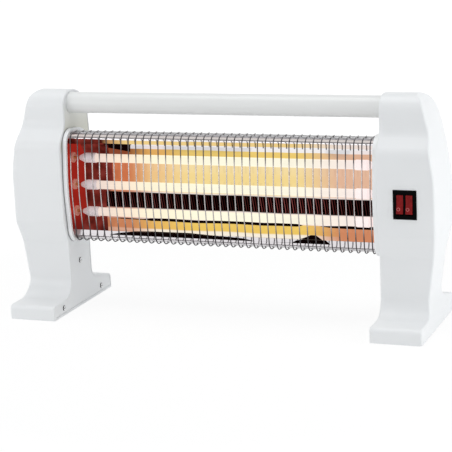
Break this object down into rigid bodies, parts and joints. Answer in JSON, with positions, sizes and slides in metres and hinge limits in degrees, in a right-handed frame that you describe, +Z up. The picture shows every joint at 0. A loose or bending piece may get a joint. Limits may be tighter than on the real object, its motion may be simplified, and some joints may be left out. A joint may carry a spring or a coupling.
{
  "type": "quartz heater",
  "caption": "Free-standing quartz tube heater: two moulded legs carry a drum with glowing tubes, a bowed wire guard, a tube handle and a twin rocker switch.",
  "frame": {"origin": "on the floor, midway between the two legs and midway along the feet", "axes": "+X along the heater to the right leg with the switch, the guarded front faces -Y, +Z up"},
  "size_m": [0.488, 0.15, 0.25],
  "materials": {
    "casing_white": "fine moulded satin, cool white",
    "handle_white": "smooth satin, off-white",
    "guard_chrome": "bright drawn wire",
    "reflector_metal": "polished sheet",
    "panel_paint": "satin white stove enamel",
    "quartz": "milky quartz glass, glowing",
    "coil_wire": "oxidised resistance alloy",
    "ceramic": "unglazed steatite",
    "brass": "plain strip",
    "zinc_steel": "bright zinc plate",
    "switch_black": "moulded black",
    "rocker_red": "translucent red moulding",
    "gland_rubber": "black rubber",
    "lead_sleeve": "woven heat-proof sleeve",
    "block_plastic": "pale heat-proof moulding"
  },
  "bodies": {
    "heater": {"back_panel": "panel_paint", "block_screws": "zinc_steel", "bracket_screws": "zinc_steel", "common_link": "brass", "cord_gland": "gland_rubber", "feed_lead": "lead_sleeve", "guard_rods": "guard_chrome", "guard_wires": "guard_chrome", "handle_nuts": "zinc_steel", "handle_tie_rod": "zinc_steel", "handle_tube": "handle_white", "handle_washers": "zinc_steel", "left_casing": "casing_white", "left_ceramic_bushes": "ceramic", "left_cover_screws": "zinc_steel", "left_end_plate": "reflector_metal", "left_inner_cover": "casing_white", "left_pin_nuts": "zinc_steel", "left_terminal_pins": "zinc_steel", "left_tube_caps": "ceramic", "lever_pin": "zinc_steel", "live_lead": "lead_sleeve", "lower_heating_coil": "coil_wire", "lower_quartz_tube": "quartz", "microswitch": "switch_black", "middle_heating_coil": "coil_wire", "middle_lead": "lead_sleeve", "middle_link": "brass", "middle_quartz_tube": "quartz", "neutral_lead": "lead_sleeve", "outer_pair_link": "brass", "pair_lead": "lead_sleeve", "plunger_spring": "zinc_steel", "reflector": "reflector_metal", "right_casing": "casing_white", "right_ceramic_bushes": "ceramic", "right_cover_screws": "zinc_steel", "right_end_plate": "reflector_metal", "right_inner_cover": "casing_white", "right_pin_nuts": "zinc_steel", "right_terminal_pins": "zinc_steel", "right_tube_caps": "ceramic", "rocker_pin": "zinc_steel", "switch_blades": "brass", "switch_housing": "switch_black", "terminal_block": "block_plastic", "tip_bracket": "zinc_steel", "upper_heating_coil": "coil_wire", "upper_quartz_tube": "quartz"},
    "left_rocker": {"left_rocker": "rocker_red"},
    "right_rocker": {"right_rocker": "rocker_red"},
    "tip_plunger": {"tip_plunger": "casing_white"},
    "micro_lever": {"micro_lever": "zinc_steel"}
  },
  "joints": [
    {"name": "left_rocker_tilt", "type": "hinge", "parent": "heater", "child": "left_rocker", "pos_m": [0.2076, -0.0332, 0.139], "axis": [1, 0, 0], "range_deg": [0, 16]},
    {"name": "right_rocker_tilt", "type": "hinge", "parent": "heater", "child": "right_rocker", "pos_m": [0.2174, -0.0332, 0.139], "axis": [1, 0, 0], "range_deg": [0, 16]},
    {"name": "plunger_slide", "type": "slide", "parent": "heater", "child": "tip_plunger", "axis": [0, 0, -1], "range_m": [0, 0.005], "stiffness_N_per_m": 60, "springref_m": 0.008, "deforming": ["plunger_spring"]},
    {"name": "lever_swing", "type": "hinge", "parent": "heater", "child": "micro_lever", "pos_m": [0.201, 0.0068, 0.037], "axis": [0, 1, 0], "range_deg": [0, 21.1]}
  ],
  "couplings": [
    {"joint": "lever_swing", "follows": "plunger_slide", "rad_per_m": 73.4}
  ]
}
